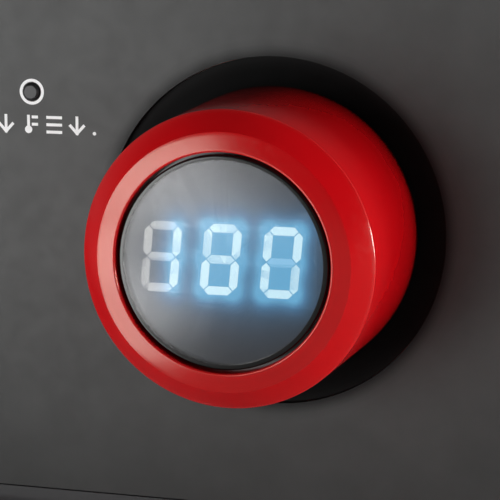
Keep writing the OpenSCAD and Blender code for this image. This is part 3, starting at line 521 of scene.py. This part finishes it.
def pod_shell():
    """The pod's wall, bevel and crowned ring, as one turned skin over the housing."""
    bevel_r, bevel_out = BEVEL_R - 0.05, crown(BEVEL_R) - BEVEL_ROUND
    hole_r = HOLE_R + HOLE_ROUND
    profile = [
        (FOOT_INNER_R, FLANGE_BACK),
        (FLANGE_R, FLANGE_BACK),
        (FLANGE_R, FLANGE_FRONT),
        (BASE_R, FLANGE_FRONT),
        (BASE_R, 0),
        *arc(EDGE_R - EDGE_ROUND, EDGE_OUT - EDGE_DROP, EDGE_ROUND, 2, 46, 6),
        *arc(bevel_r, bevel_out, BEVEL_ROUND, 46, 80, 3),
        *[(r, crown(r)) for r in (25.2, 24.6, 24.0, 23.4, 22.8)],
        *arc(hole_r, crown(hole_r) - HOLE_ROUND, HOLE_ROUND, 82, 180, 8),
        (HOLE_R, SEAT_OUT),
        (SEAT_R, SEAT_OUT),
        (SEAT_R, LEDGE_OUT),
        (LEDGE_R, LEDGE_OUT),
    ]
    shell = revolve("pod_skin", profile, "base", MATERIALS["red"])
    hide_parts("pod_housing")


def pod_lens():
    """Smoked disc in a black rim, which has a soft edge and a brim behind the ring."""
    axis_r, front = 0.001, LENS_OUT - 0.02
    disc = [
        (axis_r, LENS_OUT - LENS_DEPTH),
        (LENS_CLEAR_R + LENS_OVERLAP, LENS_OUT - LENS_DEPTH),
        (LENS_CLEAR_R + LENS_OVERLAP, front),
        (axis_r, front),
    ]
    lens = revolve("lens_cap", disc, "base", MATERIALS["lens"])
    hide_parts("display_lens")
    rim_back = LENS_OUT - LENS_DEPTH - 0.05
    profile = [
        (LENS_CLEAR_R, rim_back),
        (RIM_INNER_R, rim_back),
        (RIM_INNER_R, BRIM_BACK),
        (BRIM_R, BRIM_BACK),
        (BRIM_R, SEAT_OUT),
        (LENS_R, SEAT_OUT),
        *arc(LENS_R - LENS_ROUND, LENS_OUT - LENS_ROUND, LENS_ROUND, 0, 90, 8),
        (LENS_CLEAR_R, LENS_OUT),
    ]
    rim = revolve("lens_rim", profile, "base", MATERIALS["piano"])


def segment_lines(node):
    """Middle line of each segment of a node, as (start, end) in millimetres from the pod's axis."""
    mesh = nodes[node].data
    points = np.array([v.co for v in mesh.vertices]).reshape(-1, 3)
    flat = np.stack([(points[:, 0] - POD.x) / MM, (points[:, 2] - POD.z) / MM], axis=1)
    links = {}

    def root(i):
        while links.setdefault(i, i) != i:
            i = links[i]
        return i

    places = {}
    for i, point in enumerate(np.round(flat, 2)):
        places.setdefault(tuple(point), []).append(i)
    for same in places.values():
        for i in same[1:]:
            links[root(i)] = root(same[0])
    for polygon in mesh.polygons:
        first = polygon.vertices[0]
        for i in polygon.vertices[1:]:
            links[root(i)] = root(first)
    groups = {}
    for i in range(len(flat)):
        groups.setdefault(root(i), []).append(i)
    lines = []
    for members in groups.values():
        island = np.unique(np.round(flat[members], 3), axis=0)
        gaps = np.linalg.norm(island[:, None] - island[None], axis=2)
        a, b = np.unravel_index(np.argmax(gaps), gaps.shape)
        lines.append((island[a], island[b]))
    return lines


def distance_to(line, points):
    a, b = line
    along = b - a
    share = np.clip((points - a) @ along / (along @ along), 0, 1)
    return np.linalg.norm(points - (a + share[:, None] * along), axis=1)


GLOW_OUT_MM = 36.05  # just in front of the lens's back
GLOW_GRID_MM = 0.25
SEGMENT_HALF_MM = 0.6  # half of a segment's width
HALO_PEAK, HALO_REACH_MM, HALO_FALL = 1.25, 1.85, 1.4
WIDE_PEAK, WIDE_REACH_MM = 0.14, 3.6
GLOW_GAIN = 0.75
DIGIT_GAP_MM = 3.2  # the middles of two digits' nearest segments lie further apart than this
DIGIT_INSIDE_MM = (1.6, 4.3)  # half width and half height of the evenly lit middle of a digit
DIGIT_SEGMENTS = 6  # a digit with at least this many lit segments encloses its middle


def closed_digits(lines):
    """Middle of each digit that has lit segments on all its sides, from the segments' lines."""
    middles = sorted(((a + b) / 2 for a, b in lines), key=lambda m: m[0])
    digits = [[middles[0]]]
    for middle in middles[1:]:
        if middle[0] - digits[-1][-1][0] > DIGIT_GAP_MM:
            digits.append([])
        digits[-1].append(middle)
    return [np.mean(digit, axis=0) for digit in digits if len(digit) >= DIGIT_SEGMENTS]


def glow_level(points):
    """How much light the lit segments spill at each point, from 0 to 1."""
    lines = segment_lines("segments_lit")
    level = np.zeros(len(points))
    halo = np.zeros(len(points))
    for middle in closed_digits(lines):
        beyond = np.maximum(np.abs(points - middle) - DIGIT_INSIDE_MM, 0)
        level += np.exp(-(beyond**2).sum(axis=1))
    for line in lines:
        gap = np.maximum(distance_to(line, points) - SEGMENT_HALF_MM, 0)
        halo += (HALO_PEAK * np.exp(-((gap / HALO_REACH_MM) ** HALO_FALL))) ** 2
        level += WIDE_PEAK * np.exp(-gap / WIDE_REACH_MM)
    return 1 - np.exp(-GLOW_GAIN * (level + np.sqrt(halo)))


def display_glow():
    """Painted light spilled on the inside of the lens: a disc with a glow value at each point."""
    radius = LENS_CLEAR_R
    side = int(2 * radius / GLOW_GRID_MM) + 1
    axis = np.linspace(-radius, radius, side)
    grid = np.array([(x, y) for y in axis for x in axis])
    inside = np.linalg.norm(grid, axis=1) <= radius
    index = -np.ones(len(grid), int)
    index[inside] = np.arange(inside.sum())
    faces = []
    for row in range(side - 1):
        for col in range(side - 1):
            low = row * side + col
            corners = [low, low + 1, low + side + 1, low + side]
            if all(inside[c] for c in corners):
                faces.append([index[c] for c in corners])
    verts = [from_pod(x, y, GLOW_OUT_MM) for x, y in grid[inside]]
    piece = add_mesh("display_glow", verts, faces, "base", glow_material(), smooth=False)
    layer = piece.data.attributes.new("glow", "FLOAT", "POINT")
    layer.data.foreach_set("value", glow_level(grid)[inside].astype(np.float32))


def glow_material():
    """A clear film that only adds painted light, in place of the light spilled from the lit
    segments.
    """
    s = Shader("glow_film")
    level = s.add("ShaderNodeAttribute")
    level.attribute_name = "glow"
    stops = [
        (0.0, (0, 0, 0)),
        (0.4, (0.04, 0.17, 0.33)),
        (0.55, (0.08, 0.31, 0.54)),
        (0.7, (0.13, 0.48, 0.78)),
    ]
    # Painted light: the film's emission stands in for the light the lit segments spill.
    spill = s.add("ShaderNodeEmission", Color=s.ramp(level.outputs["Fac"], stops), Strength=1.0)
    clear = s.add("ShaderNodeBsdfTransparent")
    both = s.add("ShaderNodeAddShader")
    s.tree.links.new(clear.outputs["BSDF"], both.inputs[0])
    s.tree.links.new(spill.outputs["Emission"], both.inputs[1])
    s.tree.links.new(both.outputs["Shader"], s.tree.nodes["Material Output"].inputs["Surface"])
    s.tree.nodes.remove(s.surface)
    return s.material


# ---------- printed marks ----------

INK_MM = 0.03
INK_STEP_MM = 0.004  # strokes that cross differ in height, so that no two faces coincide
INK_STROKE = 0.65
FINE_STROKE = 0.45
DISC_STEPS, RING_STEPS = 32, 64


class Print:
    """Marks in white ink, drawn in millimetres on a surface that place(x, y, out) gives."""

    def __init__(self, place):
        self.place = place
        self.verts, self.faces, self.drawn = [], [], 0

    def shape(self, outline):
        """A flat convex shape with a thin edge, from its outline."""
        start, count = len(self.verts), len(outline)
        height = INK_MM + INK_STEP_MM * (self.drawn % 4)
        self.drawn += 1
        for out in (height, 0):
            self.verts += [self.place(x, y, out) for x, y in outline]
        self.faces.append([start + i for i in range(count)])
        for i in range(count):
            k = (i + 1) % count
            self.faces.append([start + i, start + count + i, start + count + k, start + k])

    def line(self, x0, y0, x1, y1, stroke=INK_STROKE):
        """A square-ended stroke."""
        along = Vector((x1 - x0, y1 - y0)).normalized() * stroke / 2
        side = Vector((-along.y, along.x))
        start, end = Vector((x0, y0)) - along, Vector((x1, y1)) + along
        corners = (start + side, start - side, end - side, end + side)
        self.shape([(corner.x, corner.y) for corner in corners])

    def disc(self, x, y, radius):
        self.shape(circle(radius, DISC_STEPS, x, y))

    def ring(self, x, y, radius, stroke=INK_STROKE):
        inner = circle(radius - stroke / 2, RING_STEPS, x, y)
        outer = circle(radius + stroke / 2, RING_STEPS, x, y)
        for i in range(RING_STEPS):
            k = (i + 1) % RING_STEPS
            self.shape([inner[i], outer[i], outer[k], inner[k]])

    def make(self, name, body="base"):
        return add_mesh(name, self.verts, self.faces, body, MATERIALS["ink"], smooth=False)


def below_key(node, drop):
    """The panel's face, measured from a point that lies drop millimetres under a key."""
    middle = centre(node)
    right, up = (middle.x - POD.x) / MM, (middle.z - POD.z) / MM - drop
    return lambda x, y, out: from_pod(right + x, up + y, out)


ROCKER_AXIS_MM = 3.2  # behind the panel's face
ROCKER_TIP = math.radians(9)  # at rest
VALLEY_R, VALLEY_OUT = 30.0, 4.2  # of the rocker's hollow face, from its axis


def on_rocker(x, y, out):
    """The hollow face of the tipped rocker, measured from its axis."""
    depth = VALLEY_R + VALLEY_OUT - math.sqrt(VALLEY_R**2 - y**2) + out
    turned = Matrix.Rotation(ROCKER_TIP, 3, "X") @ Vector((x, -depth, y))
    middle = centre("rocker_frame")
    return Vector((middle.x, PANEL_Y + ROCKER_AXIS_MM * MM, middle.z)) + turned * MM


KEY_RING_R = 2.5
LABEL_DROP = 7.1  # label's middle below the key
LABEL_H = 4.0


def thermometer(ink, x):
    """A bulb and stem, with two marks beside it."""
    bottom, top = -LABEL_H / 2, LABEL_H / 2
    ink.disc(x, bottom + 0.85, 0.85)
    ink.line(x, bottom + 1, x, top - 0.3)
    for y in (0, 1.6):
        ink.line(x + 1.1, y, x + 1.9, y)


def heater(ink, x):
    """Three level bars, one above another."""
    for y in (-1.6, 0, 1.6):
        ink.line(x, y, x + 3.0, y)


def arrow(ink, x, direction):
    """An upright arrow, whose direction is 1 for up and -1 for down."""
    tip = direction * (LABEL_H / 2 - 0.3)
    ink.line(x, -tip, x, tip)
    for side in (-1, 1):
        ink.line(x + side * 1.5, tip - direction * 1.6, x, tip)


def step_bars(ink, x, direction):
    """Four bars that grow or shrink."""
    bottom, end = -LABEL_H / 2, 0.33
    for i in range(4):
        height = 1.0 + (i if direction > 0 else 3 - i)
        ink.line(x + i * 1.2, bottom + end, x + i * 1.2, bottom + height - end)


def clock(ink, x):
    """A dial with two hands."""
    ink.ring(x, 0, LABEL_H / 2 - 0.3, 0.5)
    ink.line(x, 0, x, 1.1, FINE_STROKE)
    ink.line(x, 0, x + 0.9, 0, FINE_STROKE)


def print_marks():
    """A ring round each key, a row of pictograms below it, and the marks of the power rocker."""
    for node in ("key_down", "key_up", "key_timer"):
        ink = Print(below_key(node, 0))
        ink.ring(0, 0, KEY_RING_R)
        ink.make(f"{node}_ring")
    for node, direction in (("key_down", -1), ("key_up", 1)):
        ink = Print(below_key(node, LABEL_DROP))
        step_bars(ink, -13.0, direction)
        arrow(ink, -6.2, direction)
        thermometer(ink, -0.9)
        heater(ink, 3.6)
        arrow(ink, 10.4, direction)
        ink.disc(14.4, -LABEL_H / 2 + 0.4, 0.4)
        ink.make(f"{node}_label")
    ink = Print(below_key("key_timer", LABEL_DROP))
    clock(ink, -3.4)
    step_bars(ink, 0.8, 1)
    ink.make("key_timer_label")
    ink = Print(on_rocker)
    ink.line(0, 3.2, 0, 5.8, 0.5)
    ink.ring(0, -4.5, 1.2, FINE_STROKE)
    ink.make("rocker_marks", "rocker")


# ---------- stage, lights, world ----------

TABLE_R, TABLE_STEPS = 6.0, 96
ROOM_LEVEL, WALL_LEVEL = 0.055, 0.45
KEY_RADIANCE = 6.4
KEY_LEFT = 45  # left edge of the key lights, in degrees left of the panel's normal
STANDING_KEY = (1.0, 0.15, 0.26, 17.1)  # distance, height of its middle, its height, right edge
LOW_KEYS = (  # near and far end, right edge, share of the key radiance
    (0.13, 0.27, 24.5, 0.80),
    (0.27, 0.48, 20.5, 1.0),
    (0.48, 0.95, 18.5, 1.0),
)
LOW_KEY_Z = 0.003  # they lie just above the table


def add_stage():
    """A pale round table top, far wider than any view."""
    edge = [(x, y, 0) for x, y in circle(TABLE_R, TABLE_STEPS)]
    mesh = bpy.data.meshes.new("table_top")
    mesh.from_pydata(edge, [], [list(range(TABLE_STEPS))])
    mesh.materials.append(moulded("pale_table", (0.74, 0.74, 0.73), 0.8, grain=300, drift=0.01))
    table = bpy.data.objects.new("table_top", mesh)
    bpy.context.scene.collection.objects.link(table)


def softbox(name, place, facing, up, width, height, radiance, spread=180):
    """An area lamp of a stated radiance, where 1 is white. A small spread acts as a grid."""
    data = bpy.data.lights.new(name, "AREA")
    data.shape = "RECTANGLE"
    data.size = width
    data.size_y = height
    data.energy = radiance * math.pi * width * height
    data.spread = math.radians(spread)
    lamp = bpy.data.objects.new(name, data)
    bpy.context.scene.collection.objects.link(lamp)
    back = -Vector(facing).normalized()
    right = Vector(up).cross(back).normalized()
    turn = Matrix((right, back.cross(right), back)).transposed()
    lamp.matrix_world = Matrix.Translation(place) @ turn.to_4x4()
    lamp.visible_camera = False


def light_world(front, back):
    """A dim room in front and a pale wall behind, by direction along Y."""
    world = bpy.data.worlds.new("studio")
    bpy.context.scene.world = world
    world.use_nodes = True
    tree = world.node_tree
    toward = tree.nodes.new("ShaderNodeTexCoord")
    parts = tree.nodes.new("ShaderNodeSeparateXYZ")
    level = tree.nodes.new("ShaderNodeMapRange")
    level.inputs["From Min"].default_value = -0.1
    level.inputs["From Max"].default_value = 0.35
    level.inputs["To Min"].default_value = front
    level.inputs["To Max"].default_value = back
    background = tree.nodes["Background"]
    background.inputs["Color"].default_value = (1, 1, 1, 1)
    tree.links.new(toward.outputs["Generated"], parts.inputs["Vector"])
    tree.links.new(parts.outputs["Y"], level.inputs["Value"])
    tree.links.new(level.outputs["Result"], background.inputs["Strength"])


def key_sector(right_edge):
    """Middle direction of the key lights out to their right edge, and their width at one metre."""
    middle = math.radians((KEY_LEFT + right_edge) / 2)
    half = math.radians((KEY_LEFT - right_edge) / 2)
    return Vector((-math.sin(middle), -math.cos(middle), 0)), 2 * math.tan(half)


def light_studio():
    light_world(ROOM_LEVEL, WALL_LEVEL)
    base = Vector((POD.x, PANEL_Y, 0))
    up = Vector((0, 0, 1))
    # A softbox stands front left, and a fan of three lies on the table between it and the pod.
    distance, middle, height, right_edge = STANDING_KEY
    away, fan = key_sector(right_edge)
    place = base + distance * away + middle * up
    softbox("softbox_left", place, -away, up, distance * fan, height, KEY_RADIANCE)
    for i, (near, far, right_edge, share) in enumerate(LOW_KEYS):
        away, fan = key_sector(right_edge)
        middle = (near + far) / 2
        place = base + middle * away + LOW_KEY_Z * up
        radiance = share * KEY_RADIANCE
        softbox(f"softbox_low_{i}", place, up, away, middle * fan, far - near, radiance)
    # A gridded strip level with the panel lights the pod's flank and misses the panel.
    place = base + Vector((0.95, 0, 0.12))
    softbox("strip_right", place, (-0.95, 0, -0.04), up, 0.30, 0.20, radiance=2.9, spread=40)
    # A large softbox above and behind lights the table and the lid.
    place = Vector((0.1, 0.45, 1.5))
    softbox("softbox_top", place, (-0.1, -0.40, -1.3), (0, 1, 0), 0.8, 0.8, radiance=1.0)


# ---------- assembly ----------

make_camera()
dress_nodes()
pod_shell()
pod_lens()
display_glow()
print_marks()
add_stage()
light_studio()

bpy.context.scene.view_settings.view_transform = "Standard"
